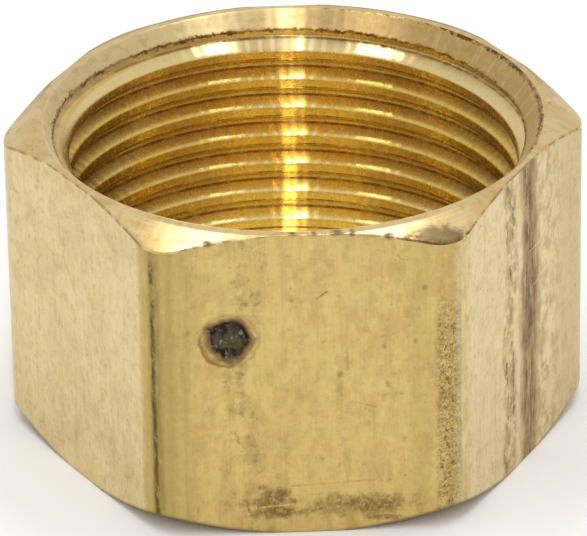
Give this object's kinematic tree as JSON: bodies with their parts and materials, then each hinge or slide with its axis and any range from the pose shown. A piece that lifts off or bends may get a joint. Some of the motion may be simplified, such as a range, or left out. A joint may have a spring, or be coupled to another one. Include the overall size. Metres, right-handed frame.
{
  "type": "pipe cap",
  "caption": "Brass hexagon pipe cap, blind-bored and threaded inside from its open end, with a chamfered rim and base; it screws over a male fitting to close it.",
  "frame": {"origin": "centre of the closed end's outer face, which the cap stands on", "axes": "+Z along the thread axis, out of the open end; one flat of the hexagon faces -Y and two corners lie on the X axis"},
  "size_m": [0.025, 0.0222, 0.0143],
  "materials": {
    "brass": "drawn and machined, satin, lightly tarnished"
  },
  "bodies": {
    "root": {"cap_body": "brass"}
  },
  "joints": []
}
